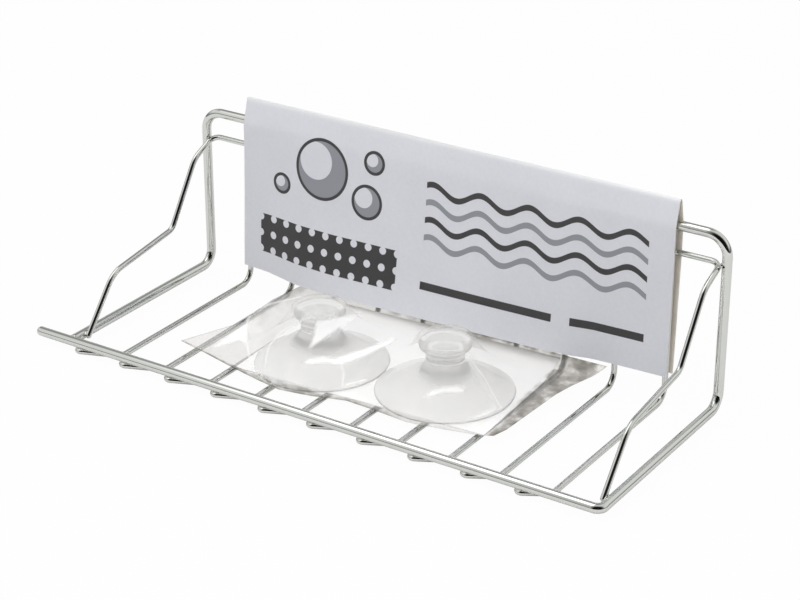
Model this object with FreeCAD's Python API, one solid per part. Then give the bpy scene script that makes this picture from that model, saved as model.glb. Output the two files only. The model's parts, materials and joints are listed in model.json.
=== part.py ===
import FreeCAD, Part
import math
import os

from FreeCAD import Vector

os.makedirs("parts", exist_ok=True)

# Driving dimensions in millimetres.
# Construction frame: X to the right with 0 midway between the side rails,
# Y backwards from the front rail, Z upwards from the plane of the side rails.

# Wire stock and welds
frame_wire_diameter = 3.0
thin_wire_diameter = 1.8
weld_sink = 0.2
body_gap = 0.3

# Frame: one bent wire
rail_spacing = 187.0
shelf_depth = 71.5
back_height = 54.0
peg_length = 12.2
front_corner_radius = 2.2
lower_bend_radius = 5.0
upper_bend_radius = 6.5

# Guards and second back rail: one bent wire
second_rail_drop = 8.8
guard_top_reach = 0.865
guard_top_drop = 4.5
guard_step_reach = 0.682
guard_step_height = 20.5
guard_front_reach = 0.265
guard_front_height = 16.4
guard_foot_reach = 0.078
guard_corner_radius = 3.0
guard_top_radius = 9.0
guard_step_radius = 4.0
guard_front_radius = 10.0

# Shelf wires, each with a foot turned aside under the front rail and hooked back to it
shelf_gap_count = 11
shelf_bend_radius = 5.0
foot_bend_radius = 2.6
foot_turn_setback = 4.0
foot_hook_start = 2.6
foot_hook_spread = 1.034
foot_hook_advance = 1.5
foot_hook_return = 1.2
foot_hook_radius = 1.3

# Card label folded over the top rail
label_width = 154.0
label_centre_x = 1.0
label_thickness = 0.5
label_fold_rise = 8.0
label_fold_half_width = 0.5
label_panel_height = 56.5
# How far its lower edge bows forwards, at shares of its width
label_bow = [(0.0, 1.9), (0.24, 7.0), (0.58, 5.2), (0.8, 3.2), (0.85, 1.2), (1.0, 0.3)]

# Pouch with card and cups, lying on the shelf: corners of the film, then how it hangs over the cups
film_front_left_x = -62.5
film_front_left_y = 15.5
film_front_left_z = 2.0
film_rear_left_x = -54.0
film_rear_left_y = 67.0
film_rear_left_z = 2.1
film_front_right_x = 47.6
film_front_right_y = 20.4
film_front_right_z = 0.1
film_rear_right_x = 58.1
film_rear_right_y = 68.7
film_rear_right_z = 4.2
film_edge_height = 1.0
film_rear_height = 1.6
film_left_swell = 2.4
film_right_swell = 0.6
film_turn_up = 0.92
film_rim_margin = 1.6
film_rim_rise = 1.6
film_corner_reach = 0.83
film_waist_reach = 0.95
film_slope_reach = 0.7
film_slope_rise = 8.0
film_slope_tilt = 1.6
film_thickness = 0.3
film_headroom = 0.5
card_width = 85.5
card_depth = 48.6
card_thickness = 0.4
card_lift = 1.5
card_lift_length = 6.0
card_centre_x = 1.0
card_centre_y = 41.0
card_turn = 3.3
cup_spacing = 43.2
cup_stagger = 3.4
cup_centre_x = 0.4
cup_centre_y = 33.14

# Suction cup
cup_diameter = 42.4
cup_rim_thickness = 1.0
cup_hollow_depth = 3.2
cup_shoulder_radius = 10.0
cup_shoulder_height = 6.5
cup_neck_diameter = 10.0
cup_neck_bottom = 9.0
cup_knob_diameter = 16.0
cup_knob_bottom = 12.0
cup_height = 18.0
cup_knob_rounding = 1.2

# Values that follow from the driving dimensions
frame_radius = frame_wire_diameter / 2
thin_radius = thin_wire_diameter / 2
half_spacing = rail_spacing / 2
shelf_pitch = rail_spacing / shelf_gap_count
weld_reach = frame_radius + thin_radius - weld_sink
shelf_wire_z = -weld_reach
shelf_vertical_y = shelf_depth - thin_radius
second_rail_y = shelf_vertical_y + thin_wire_diameter - weld_sink
second_rail_z = back_height - second_rail_drop
guard_x = half_spacing - weld_reach


# Straight runs through the points, with a tangent arc of the given radius at each inner point
def bent_path(points, radii):
    edges = []
    start = points[0]
    for corner, following, radius in zip(points[1:-1], points[2:], radii):
        incoming = (corner - start).normalize()
        outgoing = (following - corner).normalize()
        turn = incoming.getAngle(outgoing)
        setback = radius * math.tan(turn / 2)
        arc_start = corner - incoming * setback
        arc_end = corner + outgoing * setback
        bisector = (outgoing - incoming).normalize()
        centre = corner + bisector * (radius / math.cos(turn / 2))
        arc_middle = centre - bisector * radius
        edges.append(Part.LineSegment(start, arc_start).toShape())
        edges.append(Part.Arc(arc_start, arc_middle, arc_end).toShape())
        start = arc_end
    edges.append(Part.LineSegment(start, points[-1]).toShape())
    return Part.Wire(edges)


# Round wire bent along the points
def bent_wire(points, radii, wire_radius):
    direction = (points[1] - points[0]).normalize()
    section = Part.Wire([Part.makeCircle(wire_radius, points[0], direction)])
    return bent_path(points, radii).makePipeShell([section], True, False)


# Close a wire end with a half ball
def round_end(shape, end, wire_radius):
    return shape.fuse(Part.makeSphere(wire_radius, end)).removeSplitter()


# Closed face in the YZ plane between a line of (y, z) points and its parallel on the left
def thickened(points, thickness):
    normals = []
    for (y1, z1), (y2, z2) in zip(points[:-1], points[1:]):
        length = math.hypot(y2 - y1, z2 - z1)
        normals.append((-(z2 - z1) / length, (y2 - y1) / length))
    outer = []
    for index, (y, z) in enumerate(points):
        before = normals[max(index - 1, 0)]
        after = normals[min(index, len(normals) - 1)]
        scale = thickness / (1 + before[0] * after[0] + before[1] * after[1])
        outer.append((y + (before[0] + after[0]) * scale, z + (before[1] + after[1]) * scale))
    loop = points + outer[::-1]
    corners = [Vector(0, y, z) for y, z in loop]
    return Part.Face(Part.makePolygon(corners + corners[:1]))


def frame_wire():
    peg_end = Vector(-half_spacing - peg_length, 0, 0)
    front_right = Vector(half_spacing, 0, 0)
    lower_right = Vector(half_spacing, shelf_depth, 0)
    upper_right = Vector(half_spacing, shelf_depth, back_height)
    top_middle = Vector(0, shelf_depth, back_height)
    upper_left = Vector(-half_spacing, shelf_depth, back_height)
    lower_left = Vector(-half_spacing, shelf_depth, 0)
    rail_end = Vector(-half_spacing, frame_radius - weld_sink, 0)
    right_half = bent_wire([peg_end, front_right, lower_right, upper_right, top_middle],
                           [front_corner_radius, lower_bend_radius, upper_bend_radius], frame_radius)
    left_half = bent_wire([top_middle, upper_left, lower_left, rail_end],
                          [upper_bend_radius, lower_bend_radius], frame_radius)
    whole = right_half.fuse(left_half).removeSplitter()
    return round_end(whole, peg_end, frame_radius)


def guard_wire():
    profile = [
        (guard_foot_reach * shelf_depth, 0.0),
        (guard_front_reach * shelf_depth, guard_front_height),
        (guard_step_reach * shelf_depth, guard_step_height),
        (guard_top_reach * shelf_depth, second_rail_z - guard_top_drop),
        (second_rail_y, second_rail_z),
    ]
    right_side = [Vector(guard_x, y, z) for y, z in profile]
    left_side = [Vector(-guard_x, y, z) for y, z in reversed(profile)]
    side_radii = [guard_front_radius, guard_step_radius, guard_top_radius]
    radii = side_radii + [guard_corner_radius] * 2 + side_radii[::-1]
    wire = bent_wire(right_side + left_side, radii, thin_radius)
    for foot in (right_side[0], left_side[-1]):
        wire = round_end(wire, foot, thin_radius)
    return wire


def shelf_wire(number):
    x = -half_spacing + number * shelf_pitch
    hook_x = -half_spacing + foot_hook_start + (number - 1) * shelf_pitch * foot_hook_spread
    top = Vector(x, shelf_vertical_y, back_height - frame_radius + weld_sink)
    back_corner = Vector(x, shelf_vertical_y, shelf_wire_z)
    foot_corner = Vector(x, foot_turn_setback, shelf_wire_z)
    hook_corner = Vector(hook_x, -foot_hook_advance, shelf_wire_z)
    foot_tip = Vector(hook_x, foot_hook_return, shelf_wire_z)
    wire = bent_wire([top, back_corner, foot_corner, hook_corner, foot_tip],
                     [shelf_bend_radius, foot_bend_radius, foot_hook_radius], thin_radius)
    return round_end(wire, foot_tip, thin_radius)


# Cross-section of the label whose front panel bows forwards at its lower edge
def label_section(x, bow):
    front_y = shelf_depth - max(frame_radius, thin_wire_diameter) - body_gap
    back_y = max(shelf_depth + frame_radius, second_rail_y + thin_radius) + body_gap
    fold_z = back_height + label_fold_rise
    bottom_z = fold_z - label_panel_height
    inner_line = [
        (front_y - bow, bottom_z),
        (front_y, back_height),
        (shelf_depth - label_fold_half_width, fold_z),
        (shelf_depth + label_fold_half_width, fold_z),
        (back_y, back_height),
        (back_y, bottom_z),
    ]
    section = thickened(inner_line, label_thickness).OuterWire
    section.translate(Vector(x, 0, 0))
    return section


def label_sleeve():
    left_x = label_centre_x - label_width / 2
    sections = [label_section(left_x + share * label_width, bow) for share, bow in label_bow]
    return Part.makeLoft(sections, True, True)


# Heights in the pouch, from the shelf upwards
film_bottom_z = shelf_wire_z + thin_radius + body_gap
card_bottom_z = film_bottom_z + film_thickness
cup_bottom_z = card_bottom_z + card_thickness
film_top_z = cup_bottom_z + cup_height + film_headroom + film_thickness
cup_rim_radius = cup_diameter / 2
cup_centres = [Vector(cup_centre_x + side * cup_spacing / 2, cup_centre_y + side * cup_stagger / 2, 0)
               for side in (-1, 1)]
cup_left, cup_right = cup_centres
film_front_left = Vector(film_front_left_x, film_front_left_y, film_front_left_z)
film_rear_left = Vector(film_rear_left_x, film_rear_left_y, film_rear_left_z)
film_front_right = Vector(film_front_right_x, film_front_right_y, film_front_right_z)
film_rear_right = Vector(film_rear_right_x, film_rear_right_y, film_rear_right_z)

# Distances from a cup's middle where the hanging film changes its slope
knob_reach = cup_knob_diameter / 2 + film_headroom + film_thickness
knob_facet = knob_reach * math.tan(math.pi / 8)
knob_corner = math.hypot(knob_reach, knob_facet)
slope_reach = film_slope_reach * cup_rim_radius
slope_facet = math.sqrt(slope_reach ** 2 - knob_reach ** 2)
rim_reach = cup_rim_radius + film_rim_margin


# Value at a place along a line of (place, value) points
def between(points, place):
    for (start, first), (end, second) in zip(points[:-1], points[1:]):
        if place <= end:
            share = max(0.0, (place - start) / (end - start))
            return first + share * (second - first)
    return points[-1][1]


# Height of the film, at an offset from the line through both knobs: it falls off around each knob,
# more steeply towards the front, and both falls add up between the cups
def film_height(x, offset, rest):
    slope_rise = film_slope_rise + film_slope_tilt * offset / slope_reach
    fall = [(knob_corner, film_top_z - rest), (slope_reach, slope_rise - rest), (rim_reach, film_rim_rise),
            (rim_reach + slope_reach, 0.0)]
    rises = [between(fall, math.hypot(x - cup.x, offset)) for cup in cup_centres]
    return min(film_top_z, rest + sum(rises))


# Cross-section from a front to a rear edge point over the given points, moved inwards by the inset.
# Its underside lies on the shelf and turns up with the wires at the rear
def film_section(front, rear, inside_points, inset):
    inwards = Vector(rear.x - front.x, rear.y - front.y, 0).normalize() * (2 * inset)
    front = front + inwards
    rear = rear - inwards
    turn_up = front + (rear - front) * film_turn_up
    front_bottom = max(film_bottom_z, front.z - film_left_swell)
    upper = [point - Vector(0, 0, inset) for point in [front] + inside_points + [rear]]
    lower = [
        Vector(rear.x, rear.y, rear.z - film_rear_height + inset),
        Vector(turn_up.x, turn_up.y, film_bottom_z + inset),
        Vector(front.x, front.y, front_bottom + inset),
    ]
    return Part.makePolygon(upper + lower + upper[:1])


# Sealed end of the film: a shallow swell between its two corners
def film_end(front, rear, end_swell, inset, sideways):
    shift = Vector(sideways * 2 * inset, 0, 0)
    points = []
    for share in (0.2, 0.4, 0.6, 0.8):
        point = front + (rear - front) * share
        swell = end_swell * math.sin(math.pi * share)
        points.append(point + Vector(0, 0, swell) + shift)
    return film_section(front + shift, rear + shift, points, inset)


# Film over the cups at one place along the rack, with a flat of the given half width on top
def film_middle(x, front_reach, flat, inset):
    share = (x - cup_left.x) / (cup_right.x - cup_left.x)
    crest_y = cup_left.y + max(0.0, min(1.0, share)) * (cup_right.y - cup_left.y)
    along = (x - film_rear_left.x) / (film_rear_right.x - film_rear_left.x)
    rear_y = film_rear_left.y + along * (film_rear_right.y - film_rear_left.y)
    rest = film_rear_left.z + along * (film_front_right.z - film_rear_left.z)
    edge_z = film_bottom_z + film_edge_height
    front = Vector(x, crest_y - front_reach, edge_z)
    rear = Vector(x, rear_y, film_rear_left.z)
    foot = slope_reach if flat == knob_reach else slope_facet
    points = []
    for offset in (-foot, -flat, flat, foot):
        height = film_height(x, offset, rest)
        narrowing = math.copysign(inset, offset)
        points.append(Vector(x, crest_y + offset - narrowing, max(edge_z, height)))
    return film_section(front, rear, points, inset)


# Limp pouch hung over both cups, all faces moved inwards by the inset: eight-sided on top of each knob
def pouch_body(inset):
    middle_x = (cup_left.x + cup_right.x) / 2
    slope_front = film_waist_reach * cup_rim_radius
    corner_front = film_corner_reach * cup_rim_radius
    places = [(cup_left.x - rim_reach, corner_front, knob_facet), (middle_x, slope_front, knob_facet),
              (cup_right.x + rim_reach, corner_front, knob_facet)]
    for cup in cup_centres:
        for side in (-1, 1):
            places.append((cup.x + side * slope_reach, slope_front, knob_facet))
            places.append((cup.x + side * (knob_reach - inset), rim_reach, knob_facet))
            places.append((cup.x + side * knob_facet, rim_reach, knob_reach))
    sections = [film_end(film_front_left, film_rear_left, film_left_swell, inset, 1)]
    sections += [film_middle(x, front_reach, flat, inset) for x, front_reach, flat in sorted(places)]
    sections.append(film_end(film_front_right, film_rear_right, film_right_swell, inset, -1))
    return Part.makeLoft(sections, True, True)


def pouch_film():
    return pouch_body(0).cut(pouch_body(film_thickness))


def insert_card():
    front_y = -card_depth / 2
    rear_y = card_depth / 2
    line = [(front_y, 0), (rear_y - card_lift_length, 0), (rear_y, card_lift)]
    section = thickened(line, card_thickness)
    section.translate(Vector(-card_width / 2, 0, 0))
    card = section.extrude(Vector(card_width, 0, 0))
    card.rotate(Vector(0, 0, 0), Vector(0, 0, 1), card_turn)
    card.translate(Vector(card_centre_x, card_centre_y, card_bottom_z))
    return card


def suction_cup(centre):
    rim = cup_diameter / 2
    neck = cup_neck_diameter / 2
    knob = cup_knob_diameter / 2
    rim_inner = Vector(rim - cup_rim_thickness, 0, 0)
    rim_outer = Vector(rim, 0, cup_rim_thickness / 2)
    rim_top = Vector(rim - cup_rim_thickness / 2, 0, cup_rim_thickness)
    shoulder = Vector(cup_shoulder_radius, 0, cup_shoulder_height)
    neck_bottom = Vector(neck, 0, cup_neck_bottom)
    neck_top = Vector(neck, 0, cup_knob_bottom)
    knob_bottom = Vector(knob, 0, cup_knob_bottom)
    knob_side = Vector(knob, 0, cup_height - cup_knob_rounding)
    knob_top = Vector(knob - cup_knob_rounding, 0, cup_height)
    round_middle = Vector(knob - cup_knob_rounding * (1 - math.sqrt(0.5)), 0,
                          cup_height - cup_knob_rounding * (1 - math.sqrt(0.5)))
    crown = Vector(0, 0, cup_height)
    hollow_top = Vector(0, 0, cup_hollow_depth)
    hollow_radius = (rim_inner.x ** 2 + cup_hollow_depth ** 2) / (2 * cup_hollow_depth)
    half_angle = math.asin(rim_inner.x / hollow_radius) / 2
    hollow_middle = Vector(hollow_radius * math.sin(half_angle), 0,
                           cup_hollow_depth - hollow_radius * (1 - math.cos(half_angle)))
    edges = [
        Part.LineSegment(rim_inner, rim_outer).toShape(),
        Part.LineSegment(rim_outer, rim_top).toShape(),
        Part.LineSegment(rim_top, shoulder).toShape(),
        Part.LineSegment(shoulder, neck_bottom).toShape(),
        Part.LineSegment(neck_bottom, neck_top).toShape(),
        Part.LineSegment(neck_top, knob_bottom).toShape(),
        Part.LineSegment(knob_bottom, knob_side).toShape(),
        Part.Arc(knob_side, round_middle, knob_top).toShape(),
        Part.LineSegment(knob_top, crown).toShape(),
        Part.LineSegment(crown, hollow_top).toShape(),
        Part.Arc(hollow_top, hollow_middle, rim_inner).toShape(),
    ]
    cup = Part.Face(Part.Wire(edges)).revolve(Vector(0, 0, 0), Vector(0, 0, 1), 360)
    cup.translate(centre + Vector(0, 0, cup_bottom_z))
    return cup


# All pieces, then one shift that puts the origin under the middle of the whole box
pieces = {"frame_wire": frame_wire(), "guard_wire": guard_wire()}
for number in range(1, shelf_gap_count):
    pieces["shelf_wire_%02d" % number] = shelf_wire(number)
pieces["label_sleeve"] = label_sleeve()
pieces["pouch_film"] = pouch_film()
pieces["insert_card"] = insert_card()
pieces["suction_cup_left"] = suction_cup(cup_centres[0])
pieces["suction_cup_right"] = suction_cup(cup_centres[1])

box = FreeCAD.BoundBox()
for shape in pieces.values():
    box.add(shape.optimalBoundingBox(False, False))
shift = Vector(-box.Center.x, -box.Center.y, -box.ZMin)
for name, shape in pieces.items():
    shape.translate(shift)
    solid = shape.Solids[0] if len(shape.Solids) == 1 else shape
    solid.exportStep("parts/%s.step" % name)
    print(name, "solids", len(shape.Solids), "valid", shape.isValid(), "volume", round(shape.Volume, 2))
print("shift", shift, "box", box.XLength, box.YLength, box.ZLength)
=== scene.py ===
import json
import math

import bpy
import numpy as np
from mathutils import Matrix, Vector, noise


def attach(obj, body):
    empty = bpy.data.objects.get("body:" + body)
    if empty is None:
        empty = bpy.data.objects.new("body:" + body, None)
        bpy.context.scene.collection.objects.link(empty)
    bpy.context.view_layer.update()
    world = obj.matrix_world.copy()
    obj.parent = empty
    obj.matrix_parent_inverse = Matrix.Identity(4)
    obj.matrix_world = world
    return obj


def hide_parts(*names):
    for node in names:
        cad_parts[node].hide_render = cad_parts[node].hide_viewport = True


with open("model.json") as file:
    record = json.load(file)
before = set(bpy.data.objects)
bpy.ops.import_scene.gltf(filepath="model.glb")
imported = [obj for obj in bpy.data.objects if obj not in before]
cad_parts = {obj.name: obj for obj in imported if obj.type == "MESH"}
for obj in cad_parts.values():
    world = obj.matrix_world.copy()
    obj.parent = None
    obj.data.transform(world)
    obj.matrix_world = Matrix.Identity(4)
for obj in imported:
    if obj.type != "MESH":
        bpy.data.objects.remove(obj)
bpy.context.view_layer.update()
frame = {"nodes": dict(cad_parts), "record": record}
nodes = frame["nodes"]
rackNodes = frame["record"]["behaviour"]["bodies"]["rack"]
print("frame loaded with", len(nodes), "nodes")

# The CAD was drawn from the front rail backwards, in mm, then shifted to its own origin
drawing = {"shift": Vector((6.1, -36.044, 3.1)), "railSpacing": 187.0, "gaps": 11,
           "depth": 71.5, "height": 54.0}

# card edges stay sharp where faces meet at more than this
sharpAngle = math.radians(40)


def toFrame(x, y, z):
    return (Vector((x, y, z)) + drawing["shift"]) / 1000


def hexColour(code):
    channels = [int(code[i:i + 2], 16) / 255 for i in (1, 3, 5)]
    linear = [c / 12.92 if c <= 0.04045 else ((c + 0.055) / 1.055) ** 2.4 for c in channels]
    return (*linear, 1.0)


def addNode(tree, kind, links=None, **settings):
    node = tree.nodes.new(kind)
    for name, value in settings.items():
        setattr(node, name, value)
    for socket, source in (links or {}).items():
        if isinstance(source, bpy.types.NodeSocket):
            tree.links.new(source, node.inputs[socket])
        else:
            node.inputs[socket].default_value = source
    return node


def calc(tree, operation, *values):
    return addNode(tree, "ShaderNodeMath", dict(enumerate(values)), operation=operation).outputs[0]


def calcVector(tree, operation, *values):
    return addNode(tree, "ShaderNodeVectorMath", dict(enumerate(values)), operation=operation).outputs[0]


# a distance or a dot product
def measure(tree, operation, *values):
    links = dict(enumerate(values))
    return addNode(tree, "ShaderNodeVectorMath", links, operation=operation).outputs["Value"]


def remap(tree, value, start, end, low=0.0, high=1.0, curve="LINEAR"):
    links = {"Value": value, "From Min": start, "From Max": end, "To Min": low, "To Max": high}
    return addNode(tree, "ShaderNodeMapRange", links, interpolation_type=curve).outputs["Result"]


def blend(tree, share, first, second, how="MIX"):
    links = {"Factor": share, "A": first, "B": second}
    return addNode(tree, "ShaderNodeMix", links, data_type="RGBA", blend_type=how).outputs["Result"]


# noise that sticks to the piece, its size in mm
def grain(tree, sizeMm, detail, **more):
    place = addNode(tree, "ShaderNodeTexCoord").outputs["Object"]
    links = {"Vector": place, "Scale": 1000 / sizeMm, "Detail": detail, **more}
    return addNode(tree, "ShaderNodeTexNoise", links).outputs["Fac"]


def bump(tree, height, strength, depthMm):
    links = {"Height": height, "Strength": strength, "Distance": depthMm / 1000}
    return addNode(tree, "ShaderNodeBump", links).outputs["Normal"]


def shader(tree, kind, links):
    return addNode(tree, "ShaderNodeBsdf" + kind, links).outputs[0]


def mixShader(tree, share, first, second):
    return addNode(tree, "ShaderNodeMixShader", {0: share, 1: first, 2: second}).outputs[0]


# 1 for what the camera sees, straight or through something clear
def seenByCamera(tree):
    rays = addNode(tree, "ShaderNodeLightPath").outputs
    return calc(tree, "MAXIMUM", rays["Is Camera Ray"], rays["Is Transmission Ray"])


# clear plastic takes little light away from what lies under it
def faintShadow(tree, look, tint):
    rays = addNode(tree, "ShaderNodeLightPath").outputs
    through = shader(tree, "Transparent", {"Color": hexColour(tint)})
    return mixShader(tree, rays["Is Shadow Ray"], look, through)


def newMaterial(name):
    material = bpy.data.materials.new(name)
    material.use_nodes = True
    material.node_tree.nodes.clear()
    return material, material.node_tree


def showSurface(tree, look):
    addNode(tree, "ShaderNodeOutputMaterial", {"Surface": look})


def deselectAll():
    if bpy.context.object and bpy.context.object.mode != "OBJECT":
        bpy.ops.object.mode_set(mode="OBJECT")
    bpy.ops.object.select_all(action="DESELECT")


def activate(piece):
    deselectAll()
    piece.select_set(True)
    bpy.context.view_layer.objects.active = piece


def applyModifier(piece, kind, **settings):
    modifier = piece.modifiers.new(kind.lower(), kind)
    for name, value in settings.items():
        setattr(modifier, name, value)
    activate(piece)
    bpy.ops.object.modifier_apply(modifier=modifier.name)


def setPlace(piece):
    activate(piece)
    bpy.ops.object.transform_apply(location=True, rotation=True, scale=True)


def addGrid(name, columns, rows):
    deselectAll()
    bpy.ops.mesh.primitive_grid_add(x_subdivisions=columns, y_subdivisions=rows, size=1,
                                    calc_uvs=True, location=(0, 0, 0))
    bpy.context.object.name = name
    return bpy.context.object


# Camera where the photograph was taken from; it aims at a point of the drawing
shot = {"azimuth": 33.28, "elevation": 25.42, "distance": 0.66784, "aim": (3.73, 38.2, 24.15),
        "lens": 100.875, "sensor": 36.0, "width": 800, "height": 600, "clipStart": 0.01}


def shotAxes():
    turn, rise = math.radians(shot["azimuth"]), math.radians(shot["elevation"])
    away = Vector((math.sin(turn) * math.cos(rise), -math.cos(turn) * math.cos(rise), math.sin(rise)))
    right = Vector((math.cos(turn), math.sin(turn), 0))
    return away, right, away.cross(right)


def placeCamera():
    away = shotAxes()[0]
    deselectAll()
    bpy.ops.object.camera_add(
        location=toFrame(*shot["aim"]) + away * shot["distance"],
        rotation=(math.pi / 2 - math.radians(shot["elevation"]), 0, math.radians(shot["azimuth"])))
    camera = bpy.context.object
    camera.name = "shot_camera"
    camera.data.lens = shot["lens"]
    camera.data.sensor_width = shot["sensor"]
    camera.data.clip_start = shot["clipStart"]
    bpy.context.scene.camera = camera
    print("camera placed")


# White paper sweep and a dim room on the camera's side. The lamps are kept out of the reflections;
# what the chrome mirrors overhead is a long bright window beside a darker back of the room
studio = {
    "floorSize": 6.0,
    "floorColour": "#CDCDCD",
    "floorGlow": 0.965,
    "mirrorGlow": 0.14,
    "horizon": "#66676A",
    # each comes in over the ones before it, between two limits of how far a ray heads that way
    "walls": {
        "sweep": {"towards": (0, 0, 1), "limits": (0.0, 0.4), "colour": "#E4E5E4"},
        "ceiling": {"towards": (0, 0, 1), "limits": (0.5, 0.85), "colour": "#DADBD8"},
        "dimSide": {"towards": (0.50, -0.78, 0.37), "limits": (0.42, 0.85), "colour": "#141414"},
        "darkBack": {"towards": (-0.45, 0.45, 0.77), "limits": (0.82, 0.96), "colour": "#8F908E"},
    },
    "windowGlow": 1.9,
    "windowSides": {"X": [(-0.64, -0.46), (-0.15, -0.3)], "Y": [(-0.55, -0.3), (0.45, 0.2)],
                    "Z": [(0.2, 0.5)]},
    "lampAim": (0.0, 0.0, 0.03),
    "boxes": [
        {"name": "key_box", "place": (-0.5, -0.35, 1.2), "size": 2.45, "watts": 19.8},
        {"name": "front_box", "place": (0.55, -1.1, 0.75), "size": 1.0, "watts": 5.5},
        {"name": "side_box", "place": (1.2, -0.2, 0.5), "size": 0.6, "watts": 3.8},
    ],
}


def roomColour(tree):
    heading = addNode(tree, "ShaderNodeTexCoord").outputs["Generated"]
    colour = hexColour(studio["horizon"])
    for wall in studio["walls"].values():
        facing = measure(tree, "DOT_PRODUCT", heading, wall["towards"])
        share = remap(tree, facing, *wall["limits"], curve="SMOOTHSTEP")
        colour = blend(tree, share, colour, hexColour(wall["colour"]))
    parts = addNode(tree, "ShaderNodeSeparateXYZ", {"Vector": heading}).outputs
    window = 1.0
    for axis, sides in studio["windowSides"].items():
        for start, end in sides:
            side = remap(tree, parts[axis], start, end, curve="SMOOTHSTEP")
            window = calc(tree, "MULTIPLY", window, side)
    glow = studio["windowGlow"]
    return blend(tree, remap(tree, window, 0, 1, curve="SMOOTHSTEP"), colour, (glow, glow, glow, 1))


def lightRoom():
    bpy.context.scene.view_settings.view_transform = "Standard"
    world = bpy.data.worlds.new("studio_room")
    bpy.context.scene.world = world
    world.use_nodes = True
    tree = world.node_tree
    tree.nodes.clear()
    room = addNode(tree, "ShaderNodeBackground", {"Color": roomColour(tree), "Strength": 1.0})
    white = addNode(tree, "ShaderNodeBackground", {"Color": (1, 1, 1, 1), "Strength": 1.0})
    both = mixShader(tree, seenByCamera(tree), room.outputs[0], white.outputs[0])
    addNode(tree, "ShaderNodeOutputWorld", {"Surface": both})


def hangLamps():
    for box in studio["boxes"]:
        deselectAll()
        bpy.ops.object.light_add(type="AREA", location=box["place"])
        lamp = bpy.context.object
        lamp.name = box["name"]
        lamp.data.size = box["size"]
        lamp.data.energy = box["watts"]
        lamp.visible_glossy = False
        aim = Vector(studio["lampAim"]) - lamp.location
        lamp.rotation_euler = aim.to_track_quat("-Z", "Y").to_euler()


# the paper burns out to white for the camera and keeps a faint shadow; wires mirror it less bright
def layFloor():
    deselectAll()
    bpy.ops.mesh.primitive_plane_add(size=studio["floorSize"], location=(0, 0, 0))
    floor = bpy.context.object
    floor.name = "studio_floor"
    material, tree = newMaterial("white paper sweep")
    matt = shader(tree, "Diffuse", {"Color": hexColour(studio["floorColour"])})
    bright = addNode(tree, "ShaderNodeEmission", {"Color": (1, 1, 1, 1), "Strength": 1.0}).outputs[0]
    rays = addNode(tree, "ShaderNodeLightPath").outputs
    mirrored = calc(tree, "MULTIPLY", rays["Is Glossy Ray"], studio["mirrorGlow"])
    share = calc(tree, "MULTIPLY_ADD", seenByCamera(tree), studio["floorGlow"], mirrored)
    showSurface(tree, mixShader(tree, share, matt, bright))
    floor.data.materials.append(material)
    print("studio lit")


# Drawn steel wire with bright chrome plate: a mirror with faint waves from drawing and bending
chrome = {"tint": "#E5E6E2", "roughness": (0.05, 0.1), "waveMm": 25.0, "waveDepthMm": 0.01,
          "waveSpread": (0.3, 0.7)}


def chromePlate():
    material, tree = newMaterial("bright chrome plate on drawn wire")
    wave = grain(tree, chrome["waveMm"], detail=2.0)
    showSurface(tree, shader(tree, "Principled", {
        "Base Color": hexColour(chrome["tint"]), "Metallic": 1.0,
        "Roughness": remap(tree, wave, *chrome["waveSpread"], *chrome["roughness"]),
        "Normal": bump(tree, wave, strength=0.4, depthMm=chrome["waveDepthMm"])}))
    return material


def dressWires(material):
    for name in rackNodes:
        wire = nodes[name]
        wire.data.materials.clear()
        wire.data.materials.append(material)
    print("chrome on", len(rackNodes), "wires")


# Spot welds: squeezed nuggets of plated metal where two wires cross. Each kind has its shift in y and z
# from the rail it sits at, and its half sizes, in mm
welds = {
    "hookStart": 2.6, "hookSpread": 1.034, "footLeft": 7.5, "guardIn": 1.45,
    "hook": ((0.5, -1.42), (0.8, 0.8, 0.5)),
    "foot": ((0.6, -1.42), (1.3, 0.8, 0.45)),
    "secondRail": ((-0.1, -8.8), (0.75, 0.5, 0.75)),
    "topRail": ((-0.6, -1.35), (0.95, 0.95, 0.5)),
    "guardBack": ((-0.4, -9.0), (0.5, 0.9, 0.8)),
    "guardFront": ((6.6, 0.4), (0.5, 0.8, 1.1)),
    "butt": ((1.35, 0.0), (1.62, 0.55, 1.35)),
    "segments": 14, "rings": 8, "lumpsPerMetre": 900, "lumpMm": 0.08,
}


# kind of each weld, where it is along the rails and the y and z of its rail
def weldPlaces():
    half = drawing["railSpacing"] / 2
    pitch = drawing["railSpacing"] / drawing["gaps"]
    top = (drawing["depth"], drawing["height"])
    front = (0, 0)
    places = []
    for number in range(1, drawing["gaps"]):
        x = -half + number * pitch
        hookX = -half + welds["hookStart"] + (number - 1) * pitch * welds["hookSpread"]
        places += [("hook", hookX, front), ("foot", x - welds["footLeft"], front),
                   ("secondRail", x, top), ("topRail", x, top)]
    for side in (-1, 1):
        x = side * (half - welds["guardIn"])
        places += [("guardBack", x, top), ("guardFront", x, front)]
    places.append(("butt", -half, front))
    return places


def makeWelds(material):
    beads = []
    for index, (kind, x, (railY, railZ)) in enumerate(weldPlaces()):
        (shiftY, shiftZ), halfSizes = welds[kind]
        deselectAll()
        bpy.ops.mesh.primitive_uv_sphere_add(
            segments=welds["segments"], ring_count=welds["rings"], radius=0.001,
            location=toFrame(x, railY + shiftY, railZ + shiftZ))
        bead = bpy.context.object
        bead.scale = halfSizes
        setPlace(bead)
        for vertex in bead.data.vertices:
            lump = noise.noise(vertex.co * welds["lumpsPerMetre"] + Vector((index, 0, 0)))
            vertex.co += vertex.normal * lump * welds["lumpMm"] / 1000
        beads.append(bead)
    nuggets = beads[0]
    activate(nuggets)
    for bead in beads[1:]:
        bead.select_set(True)
    bpy.ops.object.join()
    nuggets.name = "weld_nuggets"
    bpy.ops.object.shade_smooth()
    nuggets.data.materials.clear()
    nuggets.data.materials.append(material)
    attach(nuggets, "rack")
    print("welds:", len(beads))


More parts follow.
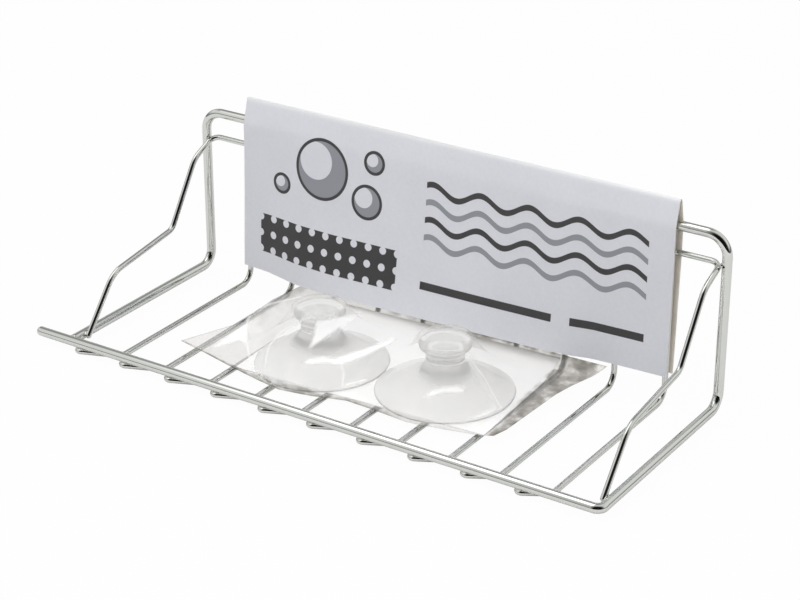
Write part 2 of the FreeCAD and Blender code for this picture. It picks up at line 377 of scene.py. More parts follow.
# Folded card label over the top rail, its mid surface in mm of the drawing
label = {
    "left": -76.2, "right": 78.0, "thickness": 0.35, "foldZ": 62.15, "foldY": 71.5, "foldHalf": 0.3,
    "frontY": 69.15, "backY": 73.65, "backLowY": 71.9, "secondRailZ": 44.0,
    "frontHeightLeft": 57.2, "frontHeightRight": 56.0, "backHeight": 56.3,
    "bowX": [-76.2, -66, -53, -40, -20, 13, 39, 46, 53, 66, 78],
    "bow": [1.9, 2.8, 6.0, 7.0, 6.2, 5.2, 4.1, 3.2, 1.4, 0.6, 0.2], "bowHalfway": 0.42,
    "looseBelowRail": 6.0, "looseOver": 30.0, "waviness": 0.2, "wavesPerMm": (0.02, 0.03),
    "frontWave": {"seed": 4.0, "outwards": -1}, "backWave": {"seed": 9.0, "outwards": 1},
    "creaseMm": 1.4, "columns": 100, "rows": 110,
}


# front panel from its bowed lower edge up, over the fold and down the back
def labelProfile(x, u):
    bow = np.interp(x, label["bowX"], label["bow"])
    frontHeight = label["frontHeightLeft"] + (label["frontHeightRight"] - label["frontHeightLeft"]) * u
    railZ = drawing["height"]
    fold = label["foldZ"]
    bottom = fold - frontHeight
    return np.array([
        (label["frontY"] - bow, bottom),
        (label["frontY"] - bow * label["bowHalfway"], (bottom + railZ) / 2),
        (label["frontY"], railZ),
        (label["foldY"] - label["foldHalf"], fold),
        (label["foldY"] + label["foldHalf"], fold),
        (label["backY"], railZ),
        (label["backY"], label["secondRailZ"]),
        (label["backLowY"], fold - label["backHeight"]),
    ])


# points at even steps along a bent line, its corners rounded over a few mm
def evenPoints(corners, count, smoothMm):
    fineCount = 1200
    steps = np.hypot(*np.diff(corners, axis=0).T)
    along = np.concatenate(([0], np.cumsum(steps)))
    fine = np.linspace(0, along[-1], fineCount)
    reach = int(smoothMm / along[-1] * fineCount)
    kernel = np.hanning(2 * reach + 1)
    kernel /= kernel.sum()
    pick = np.linspace(0, fineCount - 1, count)
    rounded = []
    for axis in (0, 1):
        values = np.interp(fine, along, corners[:, axis])
        ahead = 2 * values[0] - values[reach:0:-1]
        behind = 2 * values[-1] - values[-2:-reach - 2:-1]
        smooth = np.convolve(np.concatenate((ahead, values, behind)), kernel, "valid")
        rounded.append(np.interp(pick, np.arange(fineCount), smooth))
    return rounded


# the free lower part of each panel bows out a little
def looseBow(x, z, wave):
    lower = (drawing["height"] - label["looseBelowRail"] - z) / label["looseOver"]
    lower = max(0.0, min(1.0, lower))
    acrossWaves, downWaves = label["wavesPerMm"]
    swell = 1 + noise.noise(Vector((x * acrossWaves, z * downWaves, wave["seed"])))
    return wave["outwards"] * lower * label["waviness"] * swell


def makeLabel(printed, uncoated):
    piece = addGrid("card_label", label["columns"], label["rows"])
    profiles = {}
    for vertex in piece.data.vertices:
        u = round(vertex.co.x + 0.5, 5)
        v = vertex.co.y + 0.5
        x = label["left"] + (label["right"] - label["left"]) * u
        if u not in profiles:
            profiles[u] = evenPoints(labelProfile(x, u), label["rows"] + 1, label["creaseMm"])
        row = round(v * label["rows"])
        y, z = profiles[u][0][row], profiles[u][1][row]
        y += looseBow(x, z, label["frontWave"] if v < 0.5 else label["backWave"])
        vertex.co = toFrame(x, y, z)
    piece.data.materials.append(printed)
    piece.data.materials.append(uncoated)
    applyModifier(piece, "SOLIDIFY", thickness=label["thickness"] / 1000, offset=0,
                  use_even_offset=True, material_offset=1, material_offset_rim=1)
    bpy.ops.object.shade_smooth_by_angle(angle=sharpAngle)
    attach(piece, "label")
    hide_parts("label_sleeve")
    print("label folded")


# Coated label card, offset printed: pale blue grey satin stock with charcoal bubbles, waves, dots and
# bars; the coat cracks pale along the fold. Places in mm from the left end and down from the fold
labelPrint = {
    "stock": "#D4D5DB", "ink": "#3A393A", "greyInk": "#8B8D94", "width": 154.2, "length": 113.5,
    "bubbles": [(31, 17, 9.5), (48.5, 24, 5.2), (50.5, 11, 3.4), (15.5, 25, 3.0)],
    "bubbleLine": 1.0, "litShift": 0.25, "litReach": 0.64,
    "block": (34, 43.5, 54, 13), "dotStep": 5.4, "dotRadius": 1.25,
    "bars": [(93, 46, 46, 2.6), (134, 46, 24, 2.6)],
    "waveTop": 15.0, "waveCount": 4, "waveStep": 5.6, "waveLine": 1.9, "waveHeight": 1.7,
    "waveLength": 17.0, "waveLeft": 70.0, "waveRight": 146.0,
    "crack": "#ECECEA", "crackShare": 0.55, "crackMm": 1.6,
    "fibreMm": 1.1111, "fibreDepthMm": 0.03, "cloudMm": 22.222,
    "mottleSpread": (0.6, 1.4), "mottle": (0.95, 1.03), "roughness": (0.38, 0.52),
}


# dark rings, and their shaded bodies that stay pale on the lit side
def printedBubbles(tree, flat):
    rings, shades = [], []
    for cx, cy, radius in labelPrint["bubbles"]:
        shift = radius * labelPrint["litShift"]
        reach = measure(tree, "DISTANCE", flat, (cx, cy, 0))
        fromLit = measure(tree, "DISTANCE", flat, (cx - shift, cy - shift, 0))
        rings.append(calc(tree, "COMPARE", reach, radius, labelPrint["bubbleLine"] / 2))
        body = calc(tree, "LESS_THAN", reach, radius)
        unlit = calc(tree, "GREATER_THAN", fromLit, radius * labelPrint["litReach"])
        shades.append(calc(tree, "MULTIPLY", body, unlit))
    return rings, shades


def printedBar(tree, x, depth, bar):
    cx, cy, width, high = bar
    across = calc(tree, "COMPARE", x, cx, width / 2)
    upright = calc(tree, "COMPARE", depth, cy, high / 2)
    return calc(tree, "MULTIPLY", across, upright)


# a block with a grid of dots left open
def dottedBlock(tree, x, depth):
    block = labelPrint["block"]
    step = labelPrint["dotStep"]
    place = addNode(tree, "ShaderNodeCombineXYZ", {"X": x, "Y": depth}).outputs[0]
    place = calcVector(tree, "SUBTRACT", place, (block[0] - step / 2, block[1] - step / 2, 0))
    cell = calcVector(tree, "WRAP", place, (step, step, 1), (0, 0, 0))
    fromDot = measure(tree, "DISTANCE", cell, (step / 2, step / 2, 0))
    inked = calc(tree, "GREATER_THAN", fromDot, labelPrint["dotRadius"])
    return calc(tree, "MULTIPLY", printedBar(tree, x, depth, block), inked)


# wave lines, one below the other
def printedWaves(tree, x, depth):
    left, right = labelPrint["waveLeft"], labelPrint["waveRight"]
    turn = calc(tree, "MULTIPLY", x, 2 * math.pi / labelPrint["waveLength"])
    level = calc(tree, "MULTIPLY_ADD", calc(tree, "SINE", turn), labelPrint["waveHeight"], depth)
    span = calc(tree, "COMPARE", x, (left + right) / 2, (right - left) / 2)
    waves = []
    for number in range(labelPrint["waveCount"]):
        lineDepth = labelPrint["waveTop"] + number * labelPrint["waveStep"]
        line = calc(tree, "COMPARE", level, lineDepth, labelPrint["waveLine"] / 2)
        waves.append(calc(tree, "MULTIPLY", line, span))
    return waves


def printedCard():
    material, tree = newMaterial("coated label card with offset print")
    uv = addNode(tree, "ShaderNodeUVMap").outputs["UV"]
    width, length = labelPrint["width"], labelPrint["length"]
    flat = calcVector(tree, "MULTIPLY_ADD", uv, (width, -length, 0), (0, length / 2, 0))
    parts = addNode(tree, "ShaderNodeSeparateXYZ", {"Vector": flat}).outputs
    x = parts["X"]
    depth = calc(tree, "ABSOLUTE", parts["Y"])
    rings, shades = printedBubbles(tree, flat)
    bars = [printedBar(tree, x, depth, bar) for bar in labelPrint["bars"]]
    waves = printedWaves(tree, x, depth)
    greyShapes = shades + waves[1::2]
    darkShapes = rings + bars + [dottedBlock(tree, x, depth)] + waves[0::2]

    fibre = grain(tree, labelPrint["fibreMm"], detail=4.0)
    cloud = grain(tree, labelPrint["cloudMm"], detail=2.0)
    mottle = calc(tree, "ADD", fibre, cloud)
    mottle = remap(tree, mottle, *labelPrint["mottleSpread"], *labelPrint["mottle"])
    colour = blend(tree, 1.0, hexColour(labelPrint["stock"]), mottle, "MULTIPLY")
    for shapes, ink in ((greyShapes, labelPrint["greyInk"]), (darkShapes, labelPrint["ink"])):
        for shape in shapes:
            colour = blend(tree, shape, colour, hexColour(ink))
    crack = remap(tree, depth, 0, labelPrint["crackMm"], labelPrint["crackShare"], 0, "SMOOTHSTEP")
    showSurface(tree, shader(tree, "Principled", {
        "Base Color": blend(tree, crack, colour, hexColour(labelPrint["crack"])),
        "Roughness": remap(tree, fibre, 0, 1, *labelPrint["roughness"]), "IOR": 1.48,
        "Normal": bump(tree, fibre, strength=0.15, depthMm=labelPrint["fibreDepthMm"])}))
    return material


# Uncoated side of the board: cream and fibrous, on the inner side and cut edges of the label;
# thin enough to let some light through
board = {"tones": ("#EBE5DA", "#FAF7F0"), "fibreMm": 1.4286, "fibreDepthMm": 0.04, "roughness": 0.85,
         "translucent": 0.75}


def uncoatedBoard():
    material, tree = newMaterial("uncoated cream board")
    fibre = grain(tree, board["fibreMm"], detail=6.0)
    dark, pale = board["tones"]
    tone = blend(tree, fibre, hexColour(dark), hexColour(pale))
    face = shader(tree, "Principled", {
        "Base Color": tone, "Roughness": board["roughness"],
        "Normal": bump(tree, fibre, strength=0.3, depthMm=board["fibreDepthMm"])})
    glow = shader(tree, "Translucent", {"Color": tone})
    showSurface(tree, mixShader(tree, board["translucent"], face, glow))
    return material


# Two soft suction cups with a knob each, on the card; the film pulls the left knob over.
# Rings are radius and height in mm, from the crown down the outside and up the hollow
cups = {
    "base": -0.28, "segments": 96, "leanFrom": 5.0, "leanOver": 9.0, "squeezeFrom": 10.0,
    "left": {"centre": (-20.8, 31.6), "lean": (-0.9, 1.0), "squeeze": 0.87},
    "right": {"centre": (21.4, 35.7), "lean": (0.2, -0.3), "squeeze": 1.0},
    "outer": [(3.0, 17.95), (5.8, 17.85), (7.2, 17.5), (7.8, 16.9), (8.0, 16.2), (7.85, 15.5),
              (7.35, 14.9), (6.6, 14.4), (6.1, 13.7), (5.9, 12.7), (5.9, 11.3), (6.1, 10.2), (6.5, 9.5),
              (7.15, 8.9), (8.2, 8.2), (9.8, 7.2), (12.0, 5.8), (14.5, 4.2), (17.0, 2.9), (19.0, 1.9),
              (20.6, 1.15), (21.05, 0.85), (21.2, 0.5), (21.05, 0.2)],
    "inner": [(20.5, 0.05), (19.6, 0.25), (17.8, 0.9), (15.5, 1.5), (12.8, 2.15), (10.0, 2.65),
              (7.0, 3.0), (4.0, 3.15), (1.5, 3.2)],
}


# the soft neck gives way sideways, and the film draws in one side of the left rim
def bendCup(piece, cup):
    middle = toFrame(*cup["centre"], cups["base"])
    squeezeFrom = cups["squeezeFrom"] / 1000
    for vertex in piece.data.vertices:
        height = (vertex.co.z - middle.z) * 1000
        share = max(0.0, min(1.0, (height - cups["leanFrom"]) / cups["leanOver"]))
        offset = vertex.co.x - middle.x
        if offset < -squeezeFrom:
            vertex.co.x = middle.x - squeezeFrom + (offset + squeezeFrom) * cup["squeeze"]
        vertex.co += Vector((*cup["lean"], 0)) * share / 1000


def makeCup(name, cup, material, node):
    rings = cups["outer"] + cups["inner"]
    x, y = cup["centre"]
    deselectAll()
    bpy.ops.mesh.primitive_circle_add(vertices=cups["segments"], radius=rings[0][0] / 1000,
                                      location=toFrame(x, y, cups["base"] + rings[0][1]))
    piece = bpy.context.object
    piece.name = name
    bpy.ops.object.mode_set(mode="EDIT")
    bpy.ops.mesh.select_all(action="SELECT")
    for (oldRadius, oldZ), (radius, z) in zip(rings[:-1], rings[1:]):
        bpy.ops.mesh.extrude_region_move(TRANSFORM_OT_translate={"value": (0, 0, (z - oldZ) / 1000)})
        growth = radius / oldRadius
        bpy.ops.transform.resize(value=(growth, growth, 1), center_override=toFrame(x, y, cups["base"] + z))
    # close the hollow, then the crown
    bpy.ops.mesh.merge(type="CENTER")
    bpy.ops.mesh.select_all(action="DESELECT")
    bpy.ops.object.mode_set(mode="OBJECT")
    for vertex in piece.data.vertices[:cups["segments"]]:
        vertex.select = True
    bpy.ops.object.mode_set(mode="EDIT")
    bpy.ops.mesh.merge(type="CENTER")
    bpy.ops.mesh.select_all(action="SELECT")
    bpy.ops.mesh.normals_make_consistent(inside=False)
    bpy.ops.object.mode_set(mode="OBJECT")
    setPlace(piece)
    bendCup(piece, cup)
    bpy.ops.object.shade_smooth()
    piece.data.materials.append(material)
    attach(piece, "pouch")
    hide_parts(node)
    print(name, "turned")


# Plasticised PVC, injection moulded: clear with a trace of milk, glossy skin with soft flow waves
pvc = {"clear": "#F3F3F2", "milk": "#CACACA", "milkShare": 0.3, "ior": 1.2, "shadow": "#F6F6F6",
       "flowMm": 8.0, "flowDepthMm": 0.1}


def clearPvc():
    material, tree = newMaterial("clear plasticised PVC, moulded")
    flow = grain(tree, pvc["flowMm"], detail=2.0)
    skin = bump(tree, flow, strength=0.2, depthMm=pvc["flowDepthMm"])
    clear = shader(tree, "Principled", {
        "Base Color": hexColour(pvc["clear"]), "Roughness": 0.08, "IOR": pvc["ior"],
        "Transmission Weight": 1.0, "Normal": skin})
    milk = shader(tree, "Principled", {
        "Base Color": hexColour(pvc["milk"]), "Roughness": 0.2, "IOR": 1.5, "Normal": skin})
    cloudy = mixShader(tree, pvc["milkShare"], clear, milk)
    showSurface(tree, faintShadow(tree, cloudy, pvc["shadow"]))
    return material


# White insert card, turned a little, its back edge lifted where the wires bend up
card = {"centre": (1.0, 41.2), "size": (85.5, 49.2), "turn": 3.3, "z": -0.66, "thickness": 0.35,
        "lift": 3.3, "liftFrom": 12.0, "columns": 60, "rows": 40,
        "tones": ("#F6F7F8", "#FCFCFD"), "fibreMm": 1.25, "fibreDepthMm": 0.03, "roughness": 0.6}


def makeCard(material):
    piece = addGrid("backing_card", card["columns"], card["rows"])
    turn = math.radians(card["turn"])
    for vertex in piece.data.vertices:
        a = vertex.co.x * card["size"][0]
        b = vertex.co.y * card["size"][1]
        x = card["centre"][0] + a * math.cos(turn) - b * math.sin(turn)
        y = card["centre"][1] + a * math.sin(turn) + b * math.cos(turn)
        curl = max(0.0, (b - card["liftFrom"]) / (card["size"][1] / 2 - card["liftFrom"]))
        vertex.co = toFrame(x, y, card["z"] + card["lift"] * curl ** 2)
    applyModifier(piece, "SOLIDIFY", thickness=card["thickness"] / 1000, offset=1)
    bpy.ops.object.shade_smooth_by_angle(angle=sharpAngle)
    piece.data.materials.append(material)
    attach(piece, "pouch")
    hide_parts("insert_card")
    print("card laid")


# Bleached folding boxboard, calendered: white and matt with a faint cloud of fibres
def whiteBoard():
    material, tree = newMaterial("bleached white boxboard")
    fibre = grain(tree, card["fibreMm"], detail=5.0)
    dark, pale = card["tones"]
    showSurface(tree, shader(tree, "Principled", {
        "Base Color": blend(tree, fibre, hexColour(dark), hexColour(pale)), "Roughness": card["roughness"],
        "Normal": bump(tree, fibre, strength=0.2, depthMm=card["fibreDepthMm"])}))
    return material


# Clear pouch: two layers of film sealed round the edge, the upper one hung over the knobs.
# Edges and ridges are in mm of the drawing
film = {
    "columns": 220, "rows": 110, "span": (111.0, 53.0), "floor": -0.95, "layerGap": 0.7,
    "startZ": 15.0, "startSlopeMm": 20.0, "sinkSteps": 2500, "sag": 0.0032,
    "left": [(-62.5, 15.5, 2.0), (-58.2, 25.8, 2.2), (-53.8, 36.0, 2.4), (-52.6, 38.6, 4.4),
             (-52.2, 50.0, 5.2), (-54.0, 67.0, 2.6)],
    "right": [(47.6, 20.4, -0.5), (48.9, 25.5, -0.4), (51.2, 50.0, 0.9), (58.1, 68.7, 4.2)],
    "front": [(-62.5, 15.5, 2.0), (-52.0, 15.2, 0.4), (-41.5, 13.8, -0.6), (-31.0, 11.6, -0.7),
              (-21.0, 9.9, -0.7), (-11.0, 11.8, -0.7), (0.0, 15.2, -0.7), (10.0, 14.8, -0.7),
              (22.0, 13.8, -0.7), (34.0, 16.2, -0.7), (44.0, 18.6, -0.6), (47.6, 20.4, -0.5)],
    "rear": [(-54.0, 67.0, 2.6), (-40.0, 67.4, 3.6), (20.0, 68.2, 3.8), (46.0, 68.5, 4.0),
             (58.1, 68.7, 4.2)],
    # what the film meets of a cup, straight down from the knob's edge
    "knobReach": [8.4, 8.9], "knobTop": [18.2, -5.0],
    "skirtReach": [8.9, 21.5, 21.9], "skirtTop": [9.0, 1.2, -5.0],
    # both ends, height and width of each ridge; two shares of its length, where it has risen and where
    # it begins to die out
    "ridges": [
        ((-53.1, 36.4), (-31.3, 12.4), 0.9, 1.0), ((-20, 27), (-18, 21), 0.7, 1.3),
        ((-18, 17), (-3, 47), 0.8, 1.4), ((-29, 33), (-50, 46), 0.7, 1.6), ((28, 35), (43, 33), 0.8, 1.2),
        ((39, 22), (43, 33), 0.6, 1.0), ((26, 42), (50, 62), 0.6, 1.5), ((-31, 30), (-60, 17), 0.6, 1.5),
    ],
    "ridgeRisen": 0.25, "ridgeFading": 0.6, "flatEdgeMm": 5.0,
    "crinkleMm": 6.0, "crinkle": 0.22, "crinkleSeed": 1.5,
    # the seal right of the card, by its edge's x at two y; then the rear hem, left and front edges by
    # strength and the shares of the film's width and depth between which each comes in
    # the grey of these seals is partly painted shade: the shaded hem under the label, a dark line under the
    # left cup and the strip beside the card
    "cardEdge": ([18.0, 68.0], [45.6, 42.8]), "sealSoftMm": 1.2,
    "seals": [(1.0, (0.3, 0.35), (0.97143, 0.98143)), (0.25, (0.03, 0.02), (0.42, 0.47)),
              (0.9, (0.8, 0.6), (0.018, 0.01))],
    "sealCrinkleMm": 2.6, "sealCrinkle": 0.6, "sealSeed": 7.5, "sealFlatMm": 2.0,
    "lowerRiseMm": 7.0, "leastGap": 0.02, "mergeMm": 0.01,
}

# Painted highlights and whitened film, with a strength each, in pixels of the picture that the shot
# shows: corners of white patches, which are painted glints of the lamps on the film and a painted highlight
# arc on the right cup's cone; lines of creases, whitened and partly painted highlight; and corners of veils
# where the film lies double round the left cup, over the knobs and beside the right cup
filmMarks = {
    # painted glints: white patches where the lamps' highlights fall on the film, and a highlight arc on the
    # right cup
    "paintedGlints": [
        (1.0, [(316.2, 321.5), (343.5, 316.0), (362.1, 313.8), (343.5, 324.8), (326.1, 336.8),
               (309.0, 348.8), (314.1, 334.6)]),
        (0.9, [(397.0, 337.9), (361.0, 349.9), (334.8, 358.6), (321.7, 356.9), (308.6, 359.0),
               (302.1, 364.1), (328.3, 362.5), (337.0, 364.1), (352.3, 360.8), (369.7, 353.1),
               (387.2, 344.4)]),
        (0.8, [(245.2, 324.2), (246.8, 343.9), (239.7, 339.1), (225.6, 343.9), (211.4, 347.8),
               (227.1, 337.6)]),
        (0.6, [(344.0, 384.5), (367.0, 378.5), (367.5, 380.0), (345.0, 386.0)]),
        (0.5, [(459.0, 421.0), (473.0, 417.0), (503.0, 405.0), (486.0, 416.0)]),
        (0.7, [(423.5, 397.3), (431.1, 390.8), (444.2, 386.9), (457.3, 386.0), (464.3, 388.2),
               (463.9, 391.9), (442.1, 392.5), (433.3, 395.6)]),
    ],
    # crease lines: whitened creases of the film, some of them painted highlight lines
    "creases": [
        (0.55, [(246.4, 327.8), (248.0, 318.5), (255.7, 309.3), (271.5, 303.5), (302.0, 296.4)]),
        (0.55, [(246.4, 327.8), (246.6, 341.0), (250.0, 358.7), (258.7, 374.0), (270.0, 383.0)]),
        (0.4, [(265.0, 368.0), (266.0, 356.0), (270.0, 345.0), (280.4, 332.5), (295.8, 323.2),
               (312.0, 317.0)]),
        (0.35, [(340.0, 362.0), (344.0, 373.0), (342.0, 386.0)]),
        (0.3, [(466.0, 354.0), (484.0, 377.0), (501.0, 408.0)]),
    ],
    "veils": [
        (0.4, [(246.4, 323.7), (251.8, 312.8), (271.5, 304.0), (302.0, 296.4), (322.0, 299.0),
               (300.0, 318.0), (288.0, 334.0), (280.0, 352.0), (282.0, 372.0), (292.0, 386.0),
               (266.0, 380.0), (254.0, 367.3), (247.5, 345.5)]),
        (0.3, [(288.0, 301.0), (302.0, 295.0), (349.0, 296.0), (345.0, 312.0), (330.0, 326.0),
               (312.0, 332.0), (296.0, 322.0)]),
        (0.35, [(416.0, 334.0), (424.0, 329.0), (466.0, 330.0), (474.0, 342.0), (468.0, 354.0),
                (430.0, 358.0), (420.0, 350.0)]),
        (0.55, [(462.0, 352.0), (470.0, 350.0), (488.0, 378.0), (505.0, 408.0), (496.0, 412.0),
                (478.0, 386.0)]),
    ],
    "glintSoftPx": 1.6, "creasePx": 1.1, "veilSoftPx": 3.5, "looks": 12, "facingSoft": 0.25,
}


# 0 at the start, 1 at the end and straight between
def ramp(value, start, end):
    return np.clip((value - start) / (end - start), 0, 1)


def edgeLine(points, count):
    line = np.array(points, dtype=float)
    along = np.concatenate(([0], np.cumsum(np.sqrt((np.diff(line, axis=0) ** 2).sum(axis=1)))))
    want = np.linspace(0, along[-1], count)
    return np.stack([np.interp(want, along, line[:, axis]) for axis in range(3)], axis=1)


# a patch stretched between the four edges, and the share of its width and depth at each point
def filmPatch():
    columns, rows = film["columns"] + 1, film["rows"] + 1
    front, rear = edgeLine(film["front"], columns), edgeLine(film["rear"], columns)
    left, right = edgeLine(film["left"], rows), edgeLine(film["right"], rows)
    u = np.linspace(0, 1, columns)[None, :, None]
    v = np.linspace(0, 1, rows)[:, None, None]
    patch = (1 - v) * front[None] + v * rear[None] + (1 - u) * left[:, None] + u * right[:, None]
    corners = (1 - u) * (1 - v) * front[0] + u * (1 - v) * front[-1]
    corners = corners + (1 - u) * v * rear[0] + u * v * rear[-1]
    patch -= corners
    return u[..., 0], v[..., 0], patch[..., 0], patch[..., 1], patch[..., 2]


# the lowest that the upper layer can hang, on the card or on a cup
def restHeight(x, y):
    rest = np.full_like(x, film["floor"] + film["layerGap"])
    for cup in (cups["left"], cups["right"]):
        cx, cy = cup["centre"]
        leanX, leanY = cup["lean"]
        skirt = np.interp(np.hypot(x - cx, y - cy), film["skirtReach"], film["skirtTop"])
        knob = np.interp(np.hypot(x - cx - leanX, y - cy - leanY), film["knobReach"], film["knobTop"])
        rest = np.maximum(rest, np.maximum(skirt, knob) + cups["base"])
    return rest


# start high and let the skin sink until it hangs limp over the cups
def hangSkin(rest, edge, inside):
    top = np.maximum(rest, film["startZ"] * ramp(inside, 0, film["startSlopeMm"]))
    for _ in range(film["sinkSteps"]):
        middle = (top[:-2, 1:-1] + top[2:, 1:-1] + top[1:-1, :-2] + top[1:-1, 2:]) / 4
        top[1:-1, 1:-1] = middle - film["sag"]
        top = np.maximum(rest, top)
        top[0], top[-1], top[:, 0], top[:, -1] = edge[0], edge[-1], edge[:, 0], edge[:, -1]
    return top


def ridgeHeights(x, y):
    raised = np.zeros_like(x)
    for (x0, y0), (x1, y1), height, width in film["ridges"]:
        length = math.hypot(x1 - x0, y1 - y0)
        along = ((x - x0) * (x1 - x0) + (y - y0) * (y1 - y0)) / length ** 2
        aside = np.abs((x - x0) * (y1 - y0) - (y - y0) * (x1 - x0)) / length
        taper = ramp(along, 0, film["ridgeRisen"]) * ramp(along, 1, film["ridgeFading"])
        raised += height * taper * np.exp(-aside / width)
    return raised


def crinkled(x, y, size, seed):
    rough = np.empty_like(x)
    for index in np.ndindex(x.shape):
        spot = Vector((x[index] / size, y[index] / size, seed))
        rough[index] = 1 - 2 * abs(noise.noise(spot))
    return rough


# margin crimped by the sealing bar; the same share greys the film, partly as painted shade
def sealShare(x, y, u, v):
    cardEdge = np.interp(y, *film["cardEdge"])
    shares = [ramp(x - cardEdge, 0, film["sealSoftMm"])]
    for strength, across, deep in film["seals"]:
        shares.append(strength * ramp(u, *across) * ramp(v, *deep))
    return np.maximum.reduce(shares)


# where points of the drawing show in the picture
def seenAt(x, y, z):
    away, right, up = shotAxes()
    eye = (toFrame(*shot["aim"]) + away * shot["distance"]) * 1000 - drawing["shift"]
    rays = [x - eye.x, y - eye.y, z - eye.z]
    depth, across, above = [sum(ray * part for ray, part in zip(rays, axis)) for axis in (-away, right, up)]
    focal = shot["lens"] / shot["sensor"] * shot["width"]
    return shot["width"] / 2 + focal * across / depth, shot["height"] / 2 - focal * above / depth


# 1 inside a polygon and 0 outside, by counting the sides to the right
def insidePolygon(x, y, corners):
    crossings = np.zeros(x.shape, dtype=int)
    for (x0, y0), (x1, y1) in zip(corners, corners[1:] + corners[:1]):
        spans = (y0 > y) != (y1 > y)
        meetX = x0 + (y - y0) * (x1 - x0) / (y1 - y0 if y1 != y0 else 1)
        crossings += spans & (x < meetX)
    return (crossings % 2).astype(float)


# the same with a soft edge, from a ring of shifted looks
def softPolygon(x, y, corners, soft):
    turns = np.linspace(0, 2 * math.pi, filmMarks["looks"], endpoint=False)
    looks = [insidePolygon(x + reach * math.cos(turn), y + reach * math.sin(turn), corners)
             for turn in turns for reach in (soft / 2, soft)]
    return sum(looks) / len(looks)


# 1 on a bent line and 0 beside it
def onLine(x, y, points, width):
    nearest = np.full_like(x, np.inf)
    for (x0, y0), (x1, y1) in zip(points, points[1:]):
        along = ((x - x0) * (x1 - x0) + (y - y0) * (y1 - y0)) / ((x1 - x0) ** 2 + (y1 - y0) ** 2)
        along = np.clip(along, 0, 1)
        nearest = np.minimum(nearest, np.hypot(x - x0 - along * (x1 - x0), y - y0 - along * (y1 - y0)))
    return ramp(nearest, 1.5 * width, 0.5 * width)


# painted glints, whitened crease lines and veils lie on film that faces the shot, and stay there in other
# views
def glintsCreasesAndVeils(x, y, top):
    seenX, seenY = seenAt(x, y, top)
    slopeY, slopeX = np.gradient(top)
    stepX, stepY = np.gradient(x, axis=1), np.gradient(y, axis=0)
    away = shotAxes()[0]
    facing = away.z - away.x * slopeX / stepX - away.y * slopeY / stepY
    facing = ramp(facing, 0, filmMarks["facingSoft"])
    paintedGlints = [strength * softPolygon(seenX, seenY, corners, filmMarks["glintSoftPx"])
               for strength, corners in filmMarks["paintedGlints"]]
    creases = [strength * onLine(seenX, seenY, points, filmMarks["creasePx"])
               for strength, points in filmMarks["creases"]]
    veils = [strength * softPolygon(seenX, seenY, corners, filmMarks["veilSoftPx"])
             for strength, corners in filmMarks["veils"]]
    return np.maximum.reduce(paintedGlints + creases) * facing, np.maximum.reduce(veils) * facing


def drapedFilm():
    u, v, x, y, edge = filmPatch()
    width, depth = film["span"]
    inside = np.minimum(np.minimum(u, 1 - u) * width, np.minimum(v, 1 - v) * depth)
    top = hangSkin(restHeight(x, y), edge, inside)
    rough = film["crinkle"] * crinkled(x, y, film["crinkleMm"], film["crinkleSeed"])
    top = top + (ridgeHeights(x, y) + rough) * ramp(inside, 0, film["flatEdgeMm"])
    sealAndShade = sealShare(x, y, u, v)
    crimp = film["sealCrinkle"] * crinkled(x, y, film["sealCrinkleMm"], film["sealSeed"])
    top = top + sealAndShade * crimp * ramp(inside, 0, film["sealFlatMm"])
    glintAndCrease, fold = glintsCreasesAndVeils(x, y, top)
    bottom = film["floor"] + (edge - film["floor"]) * ramp(inside, film["lowerRiseMm"], 0) ** 2
    bottom = np.minimum(bottom, top - film["leastGap"] * (inside > 0))
    return {"x": x, "y": y, "top": top, "bottom": bottom, "sealAndShade": sealAndShade, "glintAndCrease": glintAndCrease, "fold": fold}


# one layer; both are sealed, and only the upper one carries the painted glints, whitened creases and veils
def filmLayer(shape, side):
    layer = addGrid("film_pouch", film["columns"], film["rows"])
    marks = ("sealAndShade", "glintAndCrease", "fold")
    for name in marks:
        layer.data.attributes.new(name, "FLOAT", "POINT")
    shown = marks if side == "top" else marks[:1]
    for vertex in layer.data.vertices:
        column = round((vertex.co.x + 0.5) * film["columns"])
        row = round((vertex.co.y + 0.5) * film["rows"])
        vertex.co = toFrame(shape["x"][row, column], shape["y"][row, column], shape[side][row, column])
        for name in shown:
            layer.data.attributes[name].data[vertex.index].value = shape[name][row, column]
    return layer


def makeFilm(material):
    shape = drapedFilm()
    pouch = filmLayer(shape, "top")
    lower = filmLayer(shape, "bottom")
    activate(lower)
    bpy.ops.object.mode_set(mode="EDIT")
    bpy.ops.mesh.select_all(action="SELECT")
    bpy.ops.mesh.flip_normals()
    bpy.ops.object.mode_set(mode="OBJECT")
    activate(pouch)
    lower.select_set(True)
    bpy.ops.object.join()
    bpy.ops.object.mode_set(mode="EDIT")
    bpy.ops.mesh.select_all(action="SELECT")
    bpy.ops.mesh.remove_doubles(threshold=film["mergeMm"] / 1000)
    bpy.ops.object.mode_set(mode="OBJECT")
    bpy.ops.object.shade_smooth()
    pouch.data.materials.append(material)
    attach(pouch, "pouch")
    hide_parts("pouch_film")
    print("film draped")
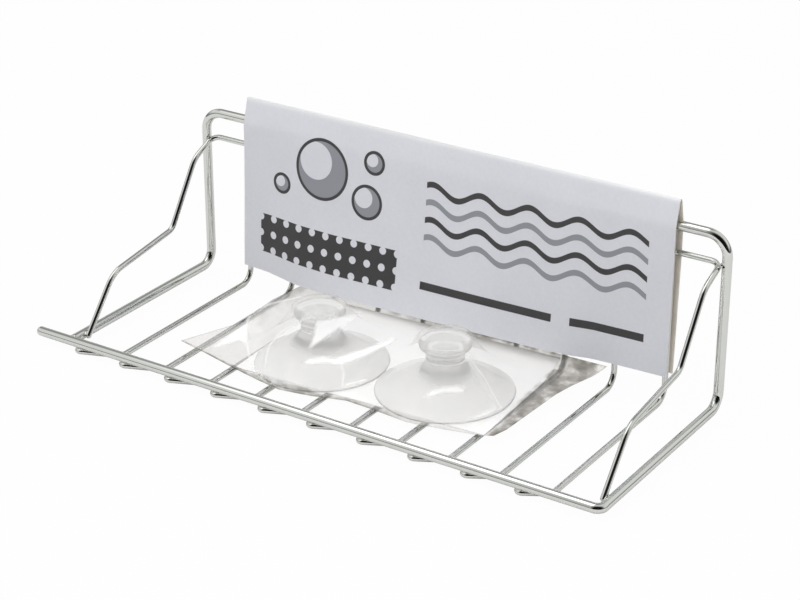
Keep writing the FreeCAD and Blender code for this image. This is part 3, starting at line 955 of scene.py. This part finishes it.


# Blown polypropylene film, 40 microns: clear and glossy with a slight haze, fine wrinkles that catch the
# light, white stress marks where it is creased, painted white glints of the lamps, and a grey crimped seal
# whose grey is partly painted shade
filmSkin = {
    "clear": "#F6F5F4", "doubled": "#F1F0EF", "sealDarkShade": "#A8A49D", "sealPale": "#F4F3F1",
    "shadow": "#F8F8F8", "glintAndCreaseWhite": "#FFFFFF", "haze": 0.11, "glintAndCreaseHaze": 0.85, "foldShare": 0.32,
    "gloss": (0.01, 0.2), "wrinkleMm": 7.0, "wrinkleDepthMm": 0.5, "fleckMm": 5.0,
    "fleckSpread": (0.4, 0.66),
}


def clearFilm():
    material, tree = newMaterial("clear blown polypropylene film")
    sealAndShade, glintAndCrease, fold = [addNode(tree, "ShaderNodeAttribute", attribute_name=name).outputs["Fac"]
                          for name in ("sealAndShade", "glintAndCrease", "fold")]
    wrinkle = grain(tree, filmSkin["wrinkleMm"], detail=3.0, Distortion=0.8)
    skin = bump(tree, wrinkle, strength=0.3, depthMm=filmSkin["wrinkleDepthMm"])
    fleck = remap(tree, grain(tree, filmSkin["fleckMm"], detail=2.0), *filmSkin["fleckSpread"])
    # the grey seal tone is partly painted shade, where the film lies over shade under the label, under the
    # left cup and beside the card
    crimp = blend(tree, fleck, hexColour(filmSkin["sealDarkShade"]), hexColour(filmSkin["sealPale"]))
    clear = blend(tree, fold, hexColour(filmSkin["clear"]), hexColour(filmSkin["doubled"]))
    through = shader(tree, "Transparent", {"Color": blend(tree, sealAndShade, clear, crimp)})
    gloss = shader(tree, "Glossy", {"Color": (1, 1, 1, 1), "Roughness": 0.12, "Normal": skin})
    mirror = addNode(tree, "ShaderNodeFresnel", {"IOR": 1.45, "Normal": skin}).outputs[0]
    glossy = mixShader(tree, remap(tree, mirror, 0, 1, *filmSkin["gloss"]), through, gloss)
    # white diffuse skin that paints the glints as painted highlights, and whitens the creases and veils
    white = shader(tree, "Diffuse", {"Color": hexColour(filmSkin["glintAndCreaseWhite"])})
    veil = calc(tree, "MAXIMUM", glintAndCrease, calc(tree, "MULTIPLY", fold, filmSkin["foldShare"]))
    haze = remap(tree, veil, 0, 1, filmSkin["haze"], filmSkin["glintAndCreaseHaze"])
    hazy = mixShader(tree, haze, glossy, white)
    showSurface(tree, faintShadow(tree, hazy, filmSkin["shadow"]))
    return material


placeCamera()
lightRoom()
hangLamps()
layFloor()
plate = chromePlate()
dressWires(plate)
makeWelds(plate)
makeLabel(printedCard(), uncoatedBoard())
softPvc = clearPvc()
makeCup("cup_left", cups["left"], softPvc, "suction_cup_left")
makeCup("cup_right", cups["right"], softPvc, "suction_cup_right")
makeCard(whiteBoard())
makeFilm(clearFilm())
